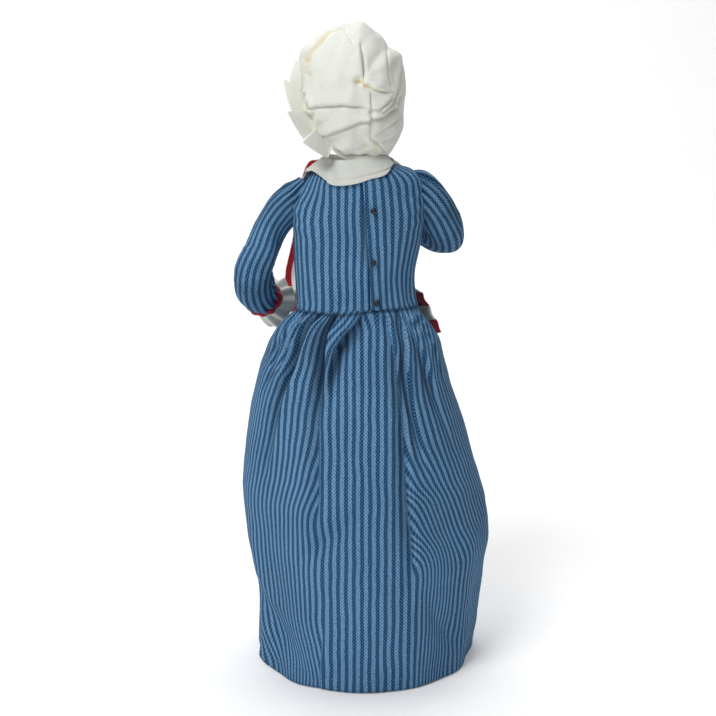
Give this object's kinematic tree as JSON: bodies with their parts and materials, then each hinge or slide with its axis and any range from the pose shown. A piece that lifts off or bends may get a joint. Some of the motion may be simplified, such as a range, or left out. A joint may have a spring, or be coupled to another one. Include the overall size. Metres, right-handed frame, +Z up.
{
  "type": "caroler doll",
  "caption": "Free-standing cloth caroler doll on a wire armature, in a striped gown and gathered mob cap, holding a swag of striped cloth; head and arms turn.",
  "frame": {"origin": "on the floor, at the middle of the stand's underside", "axes": "+Z up, the doll's stand faces -Y, its left side is +X"},
  "size_m": [0.1326, 0.1276, 0.3279],
  "materials": {
    "felt": "felt",
    "wood": "satin",
    "wire": "drawn",
    "tape": "matt",
    "padding": "matt",
    "gown": "woven cotton with narrow stripes",
    "muslin": "plain woven cotton",
    "binding": "plain woven cotton",
    "swag": "woven cotton with broad red and white stripes",
    "clay": "painted, matt",
    "hair": "fibre",
    "bead": "polished"
  },
  "bodies": {
    "figure": {"base_pad": "felt", "base_board": "wood", "left_leg_wire": "wire", "right_leg_wire": "wire", "spine_wire": "wire", "shoulder_yoke_wire": "wire", "waist_binding": "tape", "skirt": "gown", "skirt_padding": "padding", "torso_padding": "padding", "bodice_left_back": "gown", "bodice_right_back": "gown", "bodice_front": "gown", "lower_button": "bead", "middle_button": "bead", "upper_button": "bead", "kerchief": "muslin", "striped_cloth": "swag"},
    "head": {"head": "clay", "hair": "hair", "cap_crown": "muslin", "cap_ruffle": "muslin"},
    "left_upper_arm": {"left_upper_arm_wire": "wire", "left_upper_arm_padding": "padding", "left_upper_sleeve": "gown"},
    "left_forearm": {"left_forearm_wire": "wire", "left_forearm_padding": "padding", "left_lower_sleeve": "gown", "left_cuff_binding": "binding", "left_cuff_flounce": "muslin", "left_wrist_padding": "padding", "left_hand": "clay"},
    "right_upper_arm": {"right_upper_arm_wire": "wire", "right_upper_arm_padding": "padding", "right_upper_sleeve": "gown"},
    "right_forearm": {"right_forearm_wire": "wire", "right_forearm_padding": "padding", "right_lower_sleeve": "gown", "right_cuff_binding": "binding", "right_cuff_flounce": "muslin", "right_wrist_padding": "padding", "right_hand": "clay"}
  },
  "joints": [
    {"name": "head_turn", "type": "hinge", "parent": "figure", "child": "head", "pos_m": [0, 0, 0.2561], "axis": [0, 0, 1], "range_deg": [-60, 15]},
    {"name": "left_shoulder", "type": "hinge", "parent": "figure", "child": "left_upper_arm", "pos_m": [0.033, 0, 0.241], "axis": [0, -1, 0], "range_deg": [-2, 35]},
    {"name": "left_elbow", "type": "hinge", "parent": "left_upper_arm", "child": "left_forearm", "pos_m": [0.054, 0.003, 0.202], "axis": [0, 1, 0], "range_deg": [-2, 18]},
    {"name": "right_shoulder", "type": "hinge", "parent": "figure", "child": "right_upper_arm", "pos_m": [-0.033, 0, 0.245], "axis": [0, 1, 0], "range_deg": [-5, 35]},
    {"name": "right_elbow", "type": "hinge", "parent": "right_upper_arm", "child": "right_forearm", "pos_m": [-0.0475, -0.024, 0.2215], "axis": [0, -1, 0], "range_deg": [-15, 30]}
  ]
}
